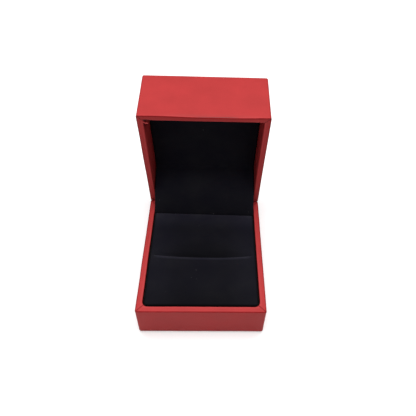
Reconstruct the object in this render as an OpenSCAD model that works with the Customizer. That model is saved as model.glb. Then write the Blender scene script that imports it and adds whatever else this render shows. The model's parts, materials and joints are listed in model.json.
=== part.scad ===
// Ring presentation box: leatherette over moulded shells, a velvet ring pad in the base,
// and a lid on a sprung leaf hinge. It is drawn with the lid at its open stop.
// The origin is the centre of the underside. +X is to the right, +Y to the back, +Z up.
// Lid parts are drawn shut, and at_lid() swings them open about the hinge pin.

/* [Case] */
// Outside width of the box, side to side
box_w = 60; // [56:0.5:70]
// Outside depth of the box, front to back
box_d = 67; // [63:0.5:80]
// Height of the base, from the underside to the rim
base_h = 20; // [19:0.5:26]
// Height of the lid, from the rim to the top
lid_h = 27; // [26:0.5:34]
// Radius of the upright outside edges
corner_r = 1; // [0.6:0.1:1.6]
// Angle of the lid at its open stop, counted from shut
open_angle = 82; // [76:1:90]
// Gap between the two rims when the box is shut
rim_gap = 0.2; // [0.2:0.1:0.5]

/* [Shells and covering] */
// Walls of the moulded shells
shell_t = 2; // [1.6:0.1:2.4]
// Floor of the base shell
floor_t = 1.5; // [1:0.1:2]
// Top plate of the lid shell
lid_top_t = 1.8; // [1:0.1:2.4]
// Leatherette covering, and the sheet under the base
wrap_t = 0.4; // [0.3:0.05:0.5]
// Width of covering turned in under the base
turn_under = 6; // [4:0.5:10]
// Depth of covering turned in below the rim of the base
base_turn_in = 9; // [7:0.5:11]
// Depth of covering turned in above the rim of the lid
lid_turn_in = 15; // [14:0.5:17]

/* [Ring pad] */
// Height of the whole ring pad
pad_h = 13; // [11:0.5:15]
// How far the pad stands above the rim
pad_proud = 0.3; // [0:0.1:1]
// Gap between the pad and the walls beside it
pad_gap = 0.3; // [0.2:0.1:0.6]
// Room for the hinge behind the pad
hinge_room = 6.5; // [5:0.5:9]
// Card plates under the pad and behind the lid lining
board_t = 1.5; // [1:0.1:2]
// Velvet with its backing
velvet_t = 0.8; // [0.6:0.1:1]
// Front face of the ring slot, as a distance in front of the centre of the box
slot_front = 3.2; // [1:0.1:8]
// Width of the ring slot
slot_w = 4.3; // [4.2:0.1:5]
// Solid margin at each end of the ring slot
slot_margin = 2.2; // [1.5:0.1:4]
// Radius of the rolled edge behind the slot
roll_r = 8; // [6:0.5:9]

/* [Lid lining] */
// Depth of the lining's face below the rim of the lid
lining_depth = 13.5; // [12:0.5:14]
// Gap between the lining and the walls beside it
lining_gap = 0.3; // [0.2:0.1:0.5]
// Distance from the back of the lid to where the hinge flap leaves the lining
flap_root = 14; // [13:0.5:18]
// Thickness of the hinge flap
flap_t = 0.6; // [0.4:0.1:0.8]

/* [Hinge] */
// Length of the hinge along its pin
hinge_l = 40; // [34:1:44]
// Knuckles on the pin, an odd number
knuckles = 5; // [3:2:7]
// Outside radius of the knuckles
barrel_r = 1; // [0.9:0.05:1.1]
// Radius of the hinge pin
pin_r = 0.5; // [0.4:0.05:0.55]
// Running clearance between the pin and the knuckles
pin_clearance = 0.03; // [0.02:0.01:0.06]
// Distance of the pin in front of the back face
hinge_in = 0.05; // [0:0.05:0.1]
// Depth of each leaf down the inside of its wall
leaf_h = 9; // [8:0.5:10]
// Width of the snap spring
spring_w = 12; // [8:1:16]
// Thickness of the snap spring
spring_t = 0.3; // [0.2:0.05:0.4]
// Bow of the snap spring when the lid is open
spring_bow = 4.4; // [4.2:0.1:5]

/* [Hidden] */
$fn = 48;

// Reach of a cutting tool past the face that it cuts
over = 1;

// Walls, from the outside in: covering, shell, covering
wall = shell_t + 2 * wrap_t;
core_w = box_w - 2 * wrap_t;
core_d = box_d - 2 * wrap_t;
cavity_w = core_w - 2 * shell_t;
cavity_d = core_d - 2 * shell_t;
mouth_w = box_w - 2 * wall;
mouth_d = box_d - 2 * wall;
inner_r = 0.5;

// Hinge axis, and the heights of the shut lid
hinge_y = box_d / 2 - hinge_in;
hinge_z = base_h + rim_gap / 2;
lid_rim_z = base_h + rim_gap;
lid_top_z = lid_rim_z + lid_h;

// Base shell, above the sheet and the turned-under covering, with posts in its corners
core_z = 2 * wrap_t;
floor_z = core_z + floor_t;
post = 6;
post_lap = 0.5;

// Ring pad
pad_w = mouth_w - 2 * pad_gap;
pad_front = -mouth_d / 2 + pad_gap;
pad_back = mouth_d / 2 - hinge_room;
pad_top = base_h + pad_proud;
pad_base = pad_top - pad_h;
foam_w = pad_w - 2 * velvet_t;
foam_z = pad_base + board_t;
foam_top = pad_top - velvet_t;
foam_r = 1.4;
slot_rear = slot_w - slot_front;
slot_l = pad_w - 2 * slot_margin;
slot_floor = foam_z + velvet_t;

// Lid lining, drawn shut: velvet, card, then foam up to the lid's ceiling
lining_w = mouth_w - 2 * lining_gap;
lining_d = mouth_d - 2 * lining_gap;
lining_z = lid_rim_z + lining_depth;
board_z = lining_z + velvet_t;
lid_foam_z = board_z + board_t;
lid_ceiling_z = lid_top_z - wrap_t - lid_top_t;
foam_inset = 0.6;

// Hinge leaves, which lie in windows of the covering, and their rivets
leaf_y = mouth_d / 2;
leaf_clearance = 0.1;
knuckle_l = hinge_l / knuckles;
knuckle_gap = 0.2;
notch_clearance = 0.3;
bore_r = pin_r + pin_clearance;
pin_stub = 0.2;
pin_l = hinge_l + 2 * pin_stub;
tab_end = 0.7;
rivet_r = 0.8;
rivet_head_r = 1.1;
rivet_head_t = 0.5;
rivet_l = 1.8;
rivet_slack = 0.05;
rivet_x = 15;
rivet_z = base_h - 6;

// Feet of the snap spring on the leaves
foot_h = 3.2;
foot_z = rivet_z - foot_h / 2;
foot_lap = 0.15;

// Bow of the flap over the hinge, the length of it glued to the lining, and steps along an arc
flap_bow = 2.8;
flap_hold = 3;
arc_steps = 24;

// The point that (y, z) of the shut lid moves to when the lid is open
function opened(p) = [
    hinge_y + (p[0] - hinge_y) * cos(open_angle) + (p[1] - hinge_z) * sin(open_angle),
    hinge_z - (p[0] - hinge_y) * sin(open_angle) + (p[1] - hinge_z) * cos(open_angle)];

// Points of an arc from a to b that bows to the left of the way from a to b
function bow(a, b, sag, steps) =
    let (chord = b - a, l = norm(chord), u = chord / l, left = [-u[1], u[0]])
    let (r = l * l / (8 * sag) + sag / 2, centre = (a + b) / 2 - left * (r - sag))
    let (half = atan2(l / 2, r - sag))
    [for (i = [0 : steps]) let (t = half * (2 * i / steps - 1))
        centre + r * (sin(t) * u + cos(t) * left)];

// Unit normal, to the left, at point i of a path
function side(path, i) =
    let (d = path[min(i + 1, len(path) - 1)] - path[max(i - 1, 0)])
    [-d[1], d[0]] / norm(d);

// The outline of a strip of thickness t on the left of a path
function strip(path, t) = concat(path,
    [for (i = [len(path) - 1 : -1 : 0]) path[i] + t * side(path, i)]);

module at_lid() {
    translate([0, hinge_y, hinge_z])
        rotate([-open_angle, 0, 0])
            translate([0, -hinge_y, -hinge_z])
                children();
}

// Turns a base hinge part into its twin on the other side of the rim gap
module mirrored_at_gap() {
    translate([0, 0, 2 * hinge_z])
        mirror([0, 0, 1])
            children();
}

module rounded_rect(w, d, r) {
    square([w - 2 * r, d], center = true);
    square([w, d - 2 * r], center = true);
    for (x = [-1, 1], y = [-1, 1])
        translate([x * (w / 2 - r), y * (d / 2 - r)])
            circle(r = r);
}

module slab(w, d, r, z_low, z_high) {
    translate([0, 0, z_low])
        linear_extrude(z_high - z_low)
            rounded_rect(w, d, r);
}

// A box centred on x = 0, between two depths and two heights
module block(w, y_low, y_high, z_low, z_high) {
    translate([-w / 2, y_low, z_low])
        cube([w, y_high - y_low, z_high - z_low]);
}

// Extrudes an outline in (y, z) along X, centred on x = 0
module along_x(w) {
    translate([-w / 2, 0, 0])
        rotate([90, 0, 90])
            linear_extrude(w)
                children();
}

// A round bar along X through the hinge axis
module axis_bar(r, l) {
    translate([-l / 2, hinge_y, hinge_z])
        rotate([0, 90, 0])
            cylinder(r = r, h = l);
}

// A round bar along Y, from y_low to y_high
module rivet_bar(r, x, y_low, y_high) {
    translate([x, y_low, rivet_z])
        rotate([-90, 0, 0])
            cylinder(r = r, h = y_high - y_low);
}

module rivet_holes() {
    for (x = [-rivet_x, 0, rivet_x])
        rivet_bar(rivet_r + rivet_slack, x, leaf_y - over, leaf_y + rivet_l + rivet_slack);
}

// Room in the back wall for the knuckles
module barrel_notch() {
    axis_bar(barrel_r + notch_clearance, hinge_l + 2 * notch_clearance);
}

// Room in the covering for a leaf, over the rim and down the inside
module leaf_window() {
    block(hinge_l + 2 * leaf_clearance, leaf_y - over, box_d / 2 - wrap_t,
        base_h - leaf_h - leaf_clearance, hinge_z);
}

module base_shell() {
    color("#2b2626")
        difference() {
            union() {
                difference() {
                    slab(core_w, core_d, corner_r - wrap_t, core_z, base_h - wrap_t);
                    slab(cavity_w, cavity_d, inner_r, floor_z, base_h);
                }
                for (x = [-1, 1], y = [-1, 1])
                    translate([x * (cavity_w - post) / 2, y * (cavity_d - post) / 2, 0])
                        slab(post + 2 * post_lap, post + 2 * post_lap, inner_r,
                            floor_z - post_lap, pad_base);
            }
            barrel_notch();
            rivet_holes();
        }
}

module base_wrap() {
    color("#a8292e")
        difference() {
            union() {
                difference() {
                    slab(box_w, box_d, corner_r, wrap_t, base_h);
                    slab(core_w, core_d, corner_r - wrap_t, core_z, base_h - wrap_t);
                    slab(cavity_w, cavity_d, inner_r, base_h - 2 * wrap_t, base_h + over);
                    slab(box_w - 2 * turn_under, box_d - 2 * turn_under, inner_r, 0, core_z);
                }
                slab(cavity_w, cavity_d, inner_r, base_h - base_turn_in, base_h);
            }
            slab(mouth_w, mouth_d, inner_r, base_h - base_turn_in - over, base_h + over);
            leaf_window();
            barrel_notch();
        }
}

module base_underlay() {
    underlay_inset = 2;
    color("#1c1a1b")
        slab(box_w - 2 * underlay_inset, box_d - 2 * underlay_inset, inner_r, 0, wrap_t);
}

module pad_board() {
    color("#8a7a62")
        block(foam_w, pad_front + velvet_t, pad_back - velvet_t, pad_base, foam_z);
}

// A foam block with rounded upright edges, between two depths
module foam_block(y_low, y_high) {
    translate([0, (y_low + y_high) / 2, 0])
        slab(foam_w, y_high - y_low, foam_r, foam_z, foam_top);
}

module front_foam() {
    color("#3c3a40")
        foam_block(pad_front + velvet_t, -slot_front - velvet_t);
}

// Outline of the ring slot in (y, z), grown by g: upright in front, rolled over at the back
module slot_outline(g) {
    low = slot_floor - g;
    translate([-slot_front - g, low])
        square([slot_w + 2 * g, pad_top + over - low]);
    difference() {
        translate([slot_rear, pad_top - roll_r])
            square([roll_r, roll_r + over]);
        translate([slot_rear + roll_r, pad_top - roll_r])
            circle(r = roll_r - g);
    }
}

module rear_foam() {
    color("#3c3a40")
        difference() {
            foam_block(slot_rear + velvet_t, pad_back - velvet_t);
            along_x(foam_w + over)
                slot_outline(velvet_t);
        }
}

module pad_cover() {
    pad_r = 1.5;
    color("#1d1b1f")
        difference() {
            translate([0, (pad_front + pad_back) / 2, 0])
                slab(pad_w, pad_back - pad_front, pad_r, pad_base, pad_top);
            along_x(slot_l)
                slot_outline(0);
            pad_board();
            front_foam();
            rear_foam();
        }
}

// One knuckle and the tab that joins it to its leaf
module knuckle() {
    block(knuckle_l - knuckle_gap, leaf_y, hinge_y - tab_end, base_h - wrap_t, base_h);
    axis_bar(barrel_r, knuckle_l - knuckle_gap);
}

// The leaf of the base: over the rim, down the inside, and round the pin at its own knuckles
module hinge_leaf(own) {
    color("#b9b6ae")
        difference() {
            union() {
                block(hinge_l, leaf_y, hinge_y - barrel_r - knuckle_gap, base_h - wrap_t, base_h);
                block(hinge_l, leaf_y, leaf_y + wrap_t, base_h - leaf_h, base_h);
                for (i = own)
                    translate([(i + 0.5) * knuckle_l - hinge_l / 2, 0, 0])
                        knuckle();
            }
            axis_bar(bore_r, pin_l);
            rivet_holes();
        }
}

module hinge_base_leaf() {
    hinge_leaf([0 : 2 : knuckles - 1]);
}

module hinge_lid_leaf() {
    at_lid()
        mirrored_at_gap()
            hinge_leaf([1 : 2 : knuckles - 2]);
}

module hinge_pin() {
    color("#8f8c86")
        axis_bar(pin_r, pin_l);
}

// Rivets of one leaf: the outer two hold it, and the middle one clamps the spring's foot too
module leaf_rivets() {
    color("#c9c6be")
        for (x = [-rivet_x, 0, rivet_x]) {
            head_y = leaf_y - (x == 0 ? spring_t : 0);
            rivet_bar(rivet_r, x, head_y - rivet_head_t / 2, leaf_y + rivet_l);
            rivet_bar(rivet_head_r, x, head_y - rivet_head_t, head_y);
        }
}

module base_rivets() {
    leaf_rivets();
}

module lid_rivets() {
    at_lid()
        mirrored_at_gap()
            leaf_rivets();
}

module spring_foot() {
    difference() {
        block(spring_w, leaf_y - spring_t, leaf_y, foot_z, foot_z + foot_h);
        rivet_holes();
    }
}

module hinge_spring() {
    low_end = [leaf_y - spring_t / 2, foot_z + foot_h - foot_lap];
    high_end = opened([low_end[0], 2 * hinge_z - low_end[1]]);
    arc = bow(low_end, high_end, spring_bow, arc_steps);
    color("#d0ccc2") {
        spring_foot();
        at_lid()
            mirrored_at_gap()
                spring_foot();
        along_x(spring_w)
            polygon(strip(arc, spring_t));
    }
}

module lid_shell() {
    color("#2b2626")
        at_lid()
            difference() {
                slab(core_w, core_d, corner_r - wrap_t, lid_rim_z + wrap_t, lid_top_z - wrap_t);
                slab(cavity_w, cavity_d, inner_r, lid_rim_z, lid_ceiling_z);
                barrel_notch();
                mirrored_at_gap()
                    rivet_holes();
            }
}

module lid_wrap() {
    color("#b53034")
        at_lid()
            difference() {
                union() {
                    difference() {
                        slab(box_w, box_d, corner_r, lid_rim_z, lid_top_z);
                        slab(core_w, core_d, corner_r - wrap_t, lid_rim_z + wrap_t,
                            lid_top_z - wrap_t);
                        slab(cavity_w, cavity_d, inner_r, lid_rim_z - over,
                            lid_rim_z + 2 * wrap_t);
                    }
                    slab(cavity_w, cavity_d, inner_r, lid_rim_z, lid_rim_z + lid_turn_in);
                }
                slab(mouth_w, mouth_d, inner_r, lid_rim_z - over,
                    lid_rim_z + lid_turn_in + over);
                mirrored_at_gap()
                    leaf_window();
                barrel_notch();
            }
}

module lid_foam() {
    color("#3c3a40")
        at_lid()
            slab(lining_w - 2 * velvet_t - foam_inset, lining_d - 2 * velvet_t - foam_inset,
                inner_r, lid_foam_z, lid_ceiling_z);
}

module lid_board() {
    color("#8a7a62")
        at_lid()
            slab(lining_w - 2 * velvet_t, lining_d - 2 * velvet_t, inner_r, board_z, lid_foam_z);
}

module lid_lining() {
    color("#131216")
        at_lid()
            difference() {
                slab(lining_w, lining_d, inner_r, lining_z, lid_foam_z);
                slab(lining_w - 2 * velvet_t, lining_d - 2 * velvet_t, inner_r, board_z,
                    lid_foam_z + over);
            }
}

// The strip over the hinge: flat on the lining, bowed over the hinge, then down behind the pad
module hinge_flap() {
    root_y = box_d / 2 - flap_root;
    glued = opened([root_y - flap_hold, lining_z]);
    root = opened([root_y, lining_z]);
    landing = [pad_back + flap_t, pad_top];
    span = bow(landing, root, flap_bow, arc_steps);
    path = concat([[landing[0], slot_floor]], span, [glued]);
    color("#18161a")
        along_x(pad_w)
            polygon(strip(path, flap_t));
}

base_shell();
base_wrap();
base_underlay();
pad_board();
front_foam();
rear_foam();
pad_cover();
hinge_base_leaf();
base_rivets();
hinge_pin();
lid_shell();
lid_wrap();
lid_foam();
lid_board();
lid_lining();
hinge_lid_leaf();
lid_rivets();
hinge_spring();
hinge_flap();
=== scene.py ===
"""Looks of a ring box: leatherette coverings, a velvet ring pad, a velvet lining and hinge flap.

The box stands on its underside, with +X to the right, +Y to the back and +Z up, in metres.
Lid pieces are drawn shut and then swung open about the hinge, as the CAD model has it at rest.
"""

import json
import math

import bmesh
import bpy
from mathutils import Matrix, Vector, noise


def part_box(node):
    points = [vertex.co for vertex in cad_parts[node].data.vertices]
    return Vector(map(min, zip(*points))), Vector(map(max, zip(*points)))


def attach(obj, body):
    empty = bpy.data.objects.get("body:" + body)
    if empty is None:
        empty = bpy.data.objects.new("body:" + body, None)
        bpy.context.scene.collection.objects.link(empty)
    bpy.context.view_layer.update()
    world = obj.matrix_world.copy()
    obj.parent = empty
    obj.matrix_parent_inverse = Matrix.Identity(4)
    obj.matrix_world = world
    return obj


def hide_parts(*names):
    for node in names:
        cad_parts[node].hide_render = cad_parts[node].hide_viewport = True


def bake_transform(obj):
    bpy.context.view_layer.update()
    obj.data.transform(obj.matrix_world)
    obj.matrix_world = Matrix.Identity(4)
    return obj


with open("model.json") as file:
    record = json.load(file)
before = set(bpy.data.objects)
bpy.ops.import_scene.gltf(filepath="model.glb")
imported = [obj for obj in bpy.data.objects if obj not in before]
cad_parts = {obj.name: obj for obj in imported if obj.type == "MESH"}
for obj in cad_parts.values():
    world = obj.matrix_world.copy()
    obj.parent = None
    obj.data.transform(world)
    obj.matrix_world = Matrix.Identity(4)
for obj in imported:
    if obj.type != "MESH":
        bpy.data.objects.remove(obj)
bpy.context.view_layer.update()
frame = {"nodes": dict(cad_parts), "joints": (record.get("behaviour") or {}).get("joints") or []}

MM = 0.001

# ---- The hinge, from the record ----
hinge = frame["joints"][0]
pivot = Vector(hinge["pos_m"])
open_angle = math.radians(hinge["range_deg"][1])
swing_open = (Matrix.Translation(pivot) @ Matrix.Rotation(-open_angle, 4, "X")
              @ Matrix.Translation(-pivot))
swing_shut = swing_open.inverted()


def shut_box(node):
    """The lowest and highest corners of a lid node, measured with the lid shut."""
    points = [swing_shut @ v.co for v in frame["nodes"][node].data.vertices]
    low = Vector([min(p[i] for p in points) for i in range(3)])
    high = Vector([max(p[i] for p in points) for i in range(3)])
    return low, high


# ---- Sizes, from the frame ----
base_low, base_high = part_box("base_wrap")
lid_low, lid_high = shut_box("lid_wrap")
pad_low, pad_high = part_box("pad_cover")
lining_low, lining_high = shut_box("lid_lining")
leaf_low, leaf_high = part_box("hinge_base_leaf")
half_w = base_high.x
half_d = base_high.y
rim_z = base_high.z
lid_rim_z = lid_low.z
lid_top_z = lid_high.z

# ---- Sizes of the covering ----
SKIN = 0.4 * MM
WALL = 2.8 * MM
CORNER_R = 1.0 * MM
BASE_MOUTH_R = 2.7 * MM
LID_MOUTH_R = 1.2 * MM
FOLD_R = 0.3 * MM
BOTTOM_EDGE_R = 0.9 * MM
TOP_EDGE_R = 0.6 * MM
RIM_EDGE_R = 0.32 * MM
MOUTH_EDGE_R = 0.3 * MM
RIM_CROWN = 0.03 * MM
RIM_EDGE_REACH = 1.01 * RIM_EDGE_R  # takes in the last point of the rounded edge
HINGE_EDGE_SHARE = 0.2
HINGE_BEAD = 0.3 * MM
TURN_UNDER = 6.0 * MM
BASE_TURN_IN = 9.0 * MM
LID_TURN_IN = 15.0 * MM
MITRE_DEPTH = 0.16 * MM
MITRE_HALF_WIDTH = 0.17 * MM
MITRE_STEP = 0.03 * MM
RIPPLE = 0.07 * MM
RIPPLE_LENGTH = 14 * MM
RIPPLE_SHIFTS = [Vector(shift) for shift in ((0, 0, 0), (5.2, 1.3, 7.9), (2.7, 9.4, 4.1))]
EDGE_SAG = 0.5 * MM
HINGE_END = 0.8 * MM
BEAD_TOP = 0.4 * MM
BEAD_BOTTOM = 1.7 * MM
SMOOTH_BY_HINGE = 3 * MM
LAP_START = 0.6 * MM
LAP_END = 2.4 * MM
# Painted shade on the rim beside the hinge, where the lid meets the base: full out to the first
# inset, gone by the second
HINGE_SHADE_START = 0.5 * MM
HINGE_SHADE_END = 0.9 * MM
# How dark the painted shade is on the rim's rounded outer edge, and in the mitre grooves
EDGE_SHADE = 0.95
MITRE_SHADE = 0.7
WINDOW_GAP = 0.1 * MM
BARREL_ROOM = 0.3 * MM
BARREL_R = 1.0 * MM

# Distances from a corner's diagonal at which a loop has its points
CORNER_STEPS = [d * MM for d in (0, 0.07, 0.14, 0.22, 0.32, 0.45, 0.65, 1.0, 1.6, 2.6)]
SIDE_STEPS = 26


def smoothstep(low, high, value):
    """0 at low, 1 at high, and a smooth curve between them. Low may be the greater of the two."""
    t = min(max((value - low) / (high - low), 0), 1)
    return t * t * (3 - 2 * t)


def mix(a, b, t):
    """a at t = 0, and b at t = 1."""
    return a + (b - a) * t


# ---- Meshes ----
def make_piece(name, vertices, faces, material, smooth_angle=40):
    """A new mesh object with one material, smooth except at edges sharper than smooth_angle."""
    mesh = bpy.data.meshes.new(name)
    mesh.from_pydata([tuple(v) for v in vertices], [], faces)
    shape = bmesh.new()
    shape.from_mesh(mesh)
    bmesh.ops.recalc_face_normals(shape, faces=shape.faces)
    shape.to_mesh(mesh)
    shape.free()
    mesh.materials.append(material)
    piece = bpy.data.objects.new(name, mesh)
    bpy.context.collection.objects.link(piece)
    soften(piece, smooth_angle)
    return piece


def soften(piece, smooth_angle=40):
    """Shades the piece smooth, except at edges sharper than smooth_angle."""
    piece.data.shade_smooth()
    piece.data.set_sharp_from_angle(angle=math.radians(smooth_angle))


def set_attribute(piece, name, values):
    """Stores a number for each vertex, for the piece's material to read."""
    attribute = piece.data.attributes.new(name, "FLOAT", "POINT")
    attribute.data.foreach_set("value", values)


def apply_modifiers(piece):
    """Replaces the piece's mesh by what its modifiers make of it."""
    evaluated = piece.evaluated_get(bpy.context.evaluated_depsgraph_get())
    done = bpy.data.meshes.new_from_object(evaluated)
    piece.modifiers.clear()
    old = piece.data
    piece.data = done
    bpy.data.meshes.remove(old)


def loft(loops, closed_ends=True):
    """Vertices and faces of a skin over closed loops that all have the same number of points."""
    count = len(loops[0])
    vertices = [p for loop in loops for p in loop]
    faces = []
    for i in range(len(loops) - 1):
        for j in range(count):
            k = (j + 1) % count
            faces.append((i * count + j, i * count + k, (i + 1) * count + k, (i + 1) * count + j))
    if closed_ends:
        faces.append(tuple(range(count)))
        faces.append(tuple(range((len(loops) - 1) * count, len(loops) * count)))
    return vertices, faces


def arc(centre, radius, start, end, steps):
    """Points of an arc about centre, with its angles in degrees."""
    angles = [math.radians(mix(start, end, i / steps)) for i in range(steps + 1)]
    return [(centre[0] + radius * math.cos(a), centre[1] + radius * math.sin(a)) for a in angles]


def line(a, b, steps):
    """Points from a to b, without a."""
    return [(mix(a[0], b[0], i / steps), mix(a[1], b[1], i / steps)) for i in range(1, steps + 1)]


def bow(a, b, sag, steps):
    """Points of an arc from a to b that bows to the left of the way from a to b."""
    a, b = Vector(a), Vector(b)
    along = (b - a).normalized()
    left = Vector((-along.y, along.x))
    length = (b - a).length
    radius = length * length / (8 * sag) + sag / 2
    centre = (a + b) / 2 - left * (radius - sag)
    half = math.atan2(length / 2, radius - sag)
    angles = [half * (2 * i / steps - 1) for i in range(steps + 1)]
    return [centre + radius * (math.sin(t) * along + math.cos(t) * left) for t in angles]


# ---- Coverings: a cross-section swept round the box ----
def stations(run):
    """Distances along one side of a loop, from one corner diagonal to just before the next."""
    scale = min(1, run / (4 * CORNER_STEPS[-1]))
    near = [d * scale for d in CORNER_STEPS]
    first, last = near[-1], run - near[-1]
    middle = [mix(first, last, i / SIDE_STEPS) for i in range(1, SIDE_STEPS)]
    far = [run - d for d in reversed(near[1:])]
    return near + middle + far


def side_point(half, depth, radius, s):
    """The point at distance s from the corner's diagonal, as (along the side, outward)."""
    eighth = radius * math.pi / 4
    if s < eighth:
        turn = math.pi / 4 - s / radius
        return (-(half - radius) - radius * math.sin(turn),
                depth - radius + radius * math.cos(turn))
    return s - eighth - (half - radius), depth


def leads_to_hinge(quarter, from_corner):
    """Whether a point is on the half of a left or right side that leads to the hinge's side."""
    return (quarter == 1 and from_corner < 0) or (quarter == 3 and from_corner >= 0)


def box_loop(inset, radius):
    """A rounded rectangle inside the box's outline.

    Each point is (x, y, distance from the nearest diagonal, hinge_side). The last is 1 on the
    hinge's side and 0 on the others, and fades from 1 to 0 just round its two corners.
    """
    points = []
    for quarter in range(4):
        sides = (half_w - inset, half_d - inset)
        half, depth = sides if quarter % 2 == 0 else (sides[1], sides[0])
        run = 2 * (half - radius) + radius * math.pi / 2
        spin = math.radians(90 * quarter)
        for s in stations(run):
            along, out = side_point(half, depth, radius, min(s, run - s))
            if s > run / 2:
                along = -along
            from_corner = s if s <= run / 2 else s - run
            hinge_side = 1 if quarter == 2 else 0
            if leads_to_hinge(quarter, from_corner):
                hinge_side = smoothstep(HINGE_END, 0, abs(from_corner))
            points.append((along * math.cos(spin) + out * math.sin(spin),
                           along * math.sin(spin) - out * math.cos(spin),
                           from_corner, hinge_side))
    return points


def corner_radius(inset, turned_in, mouth_r):
    """Radius of a loop's corners: tight outside, and growing over the rim to the mouth."""
    if turned_in:
        return mix(CORNER_R - RIM_EDGE_R, mouth_r, smoothstep(RIM_EDGE_R, WALL, inset))
    return max(CORNER_R - inset, FOLD_R)


def ripple(point):
    """The slight unevenness of a covering glued over a shell, less in height than sideways.

    It is made with noise.noise, which has no seed, so it is the same in every run.
    """
    place = point / RIPPLE_LENGTH
    move = Vector([noise.noise(place + shift) for shift in RIPPLE_SHIFTS]) * RIPPLE
    move.z *= 0.3
    return move


def lap(s):
    """How high the covering's end stands where it laps over the other side at a mitre."""
    return MITRE_STEP * smoothstep(0, MITRE_HALF_WIDTH, s) * smoothstep(LAP_END, LAP_START, abs(s))


def sag(x, y, inset, below, up):
    """How far the lid's front edge is pressed in, most of all to the right of its middle."""
    if up > 0 or y > 0:
        return 0
    along = smoothstep(-22 * MM, 0, x) * smoothstep(30 * MM, 12 * MM, x)
    return EDGE_SAG * along * smoothstep(1.8 * MM, 0, below) * smoothstep(1.6 * MM, 0.3 * MM, inset)


def covering(name, outer, rim, inner, up, mouth_r, bead, material):
    """A thin closed skin swept round the box. outer, rim and inner are runs of (inset, height).

    up is 1 where the rim faces up and -1 where it faces down. The rim's corners are mitred, and
    a bead of the given height runs along the outside of the rim on the side of the hinge.
    """
    profile = ([(p, False, 0) for p in outer] + [(p, True, 1) for p in rim]
               + [(p, True, 0) for p in inner])
    loops = []
    painted_shades = []
    wear_and_highlights = []
    edge_shades = []
    rim_top = max(p[1] * up for p in rim)
    for (inset, height), turned_in, on_rim in profile:
        loop = []
        below = rim_top - height * up
        on_outer_edge = inset <= RIM_EDGE_R and below <= RIM_EDGE_REACH
        on_bead = smoothstep(BEAD_BOTTOM, BEAD_TOP, below) if inset <= RIM_EDGE_REACH else 0
        for x, y, s, hinge_side in box_loop(inset, corner_radius(inset, turned_in, mouth_r)):
            # The outer edge of the rim is sharper beside the hinge, where the lid meets the base
            sharpen = hinge_side * (1 - HINGE_EDGE_SHARE) if on_outer_edge else 0
            groove = math.exp(-(s / MITRE_HALF_WIDTH) ** 2) if turned_in else 0
            painted_mouth_shade = inner_shade(x, y, s, below, up) if turned_in else 0
            # Painted shade in the crevice at the lid's front left corner
            if on_rim and up < 0 and x < 0 and y < 0:
                painted_mouth_shade = gap_shade(inset, s)
            z = height + up * (below * sharpen + on_rim * (lap(s) - MITRE_DEPTH * groove))
            outward = inset * sharpen + bead * hinge_side * on_bead
            point = Vector((x, y + outward + sag(x, y, inset, below, up), z))
            even = hinge_side * smoothstep(SMOOTH_BY_HINGE, 0, below)
            loop.append(point + ripple(point) * (1 - even))
            # Painted shade: in the mitre grooves, inside the mouth, and in the crevice at the lid's
            # front left corner
            painted_shades.append(max(MITRE_SHADE * groove, painted_mouth_shade))
            wear_and_highlights.append(edge_wear_and_highlight(inset, below, turned_in, up))
            # Painted shade on the rim's rounded outer edge, and on the rim beside the hinge
            hinge_shade = on_rim * hinge_side * smoothstep(HINGE_SHADE_END, HINGE_SHADE_START, inset)
            edge_shades.append(max(EDGE_SHADE if on_outer_edge else 0, hinge_shade))
        loops.append(loop)
    vertices, faces = loft(loops)
    piece = make_piece(name, vertices, faces, material)
    # The attributes carry painted shade in the mitres and the mouth, wear and a painted highlight
    # on the edges, and painted shade on the rim's outer edge
    set_attribute(piece, "mitre", painted_shades)
    set_attribute(piece, "edge", wear_and_highlights)
    set_attribute(piece, "painted_edge_shade", edge_shades)
    return piece


def inner_shade(x, y, s, below, up):
    """How much shade is painted on the covering inside the mouth: the base's all round, the lid's
    by its corners.
    """
    inside = smoothstep(0.4 * MM, 1.6 * MM, below)
    if up > 0:
        return inside
    near = smoothstep(12 * MM, 3 * MM, abs(s)) if y < 0 else 0
    return inside * near * (1 if x < 0 else 0.15)


def gap_shade(inset, s):
    """How much shade is painted on the front rim at its inner edge, in the crevice where the lid's
    corner has come apart.
    """
    return smoothstep(1.9 * MM, 2.4 * MM, inset) * smoothstep(4.2 * MM, 2.6 * MM, s) * (
        smoothstep(-0.1 * MM, 0.3 * MM, s))


def edge_wear_and_highlight(inset, below, turned_in, up):
    """How pale the edges are painted, at the wall's edge by the rim and along the mouth: wear and a
    painted highlight.
    """
    if turned_in:
        return 0.7 * smoothstep(1.2 * MM, 0.4 * MM, WALL - inset) * smoothstep(
            0.6 * MM, 0.1 * MM, below)
    # Outside, a band just above the rim: a painted highlight on the lid, and a faint one on the
    # base
    close = smoothstep(0.9 * MM, 0.35 * MM, below) * smoothstep(0.2 * MM, 0.35 * MM, below)
    return close * (1 if up < 0 else 0.15)


def rim_run(z, up):
    """The rim of a wall from its outer edge to its inner edge, slightly crowned."""
    down = 90 * up
    outer = arc((RIM_EDGE_R, z - up * RIM_EDGE_R), RIM_EDGE_R, 180, down if up > 0 else 270, 5)
    across = line(outer[-1], (WALL - MOUTH_EDGE_R, z), 8)
    middle = (RIM_EDGE_R + WALL - MOUTH_EDGE_R) / 2
    spread = middle - RIM_EDGE_R
    crowned = [(n, h + up * RIM_CROWN * (1 - ((n - middle) / spread) ** 2)) for n, h in across]
    inner = arc((WALL - MOUTH_EDGE_R, z - up * MOUTH_EDGE_R), MOUTH_EDGE_R,
                down if up > 0 else -90, 0, 5)
    return outer + crowned[:-1] + inner


def cut(piece, cutter):
    """Takes the cutter's shape out of the piece, and removes the cutter."""
    modifier = piece.modifiers.new("cut", "BOOLEAN")
    modifier.operation = "DIFFERENCE"
    modifier.solver = "EXACT"
    modifier.object = cutter
    bpy.context.view_layer.update()
    apply_modifiers(piece)
    bpy.data.objects.remove(cutter)
    soften(piece)


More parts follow.
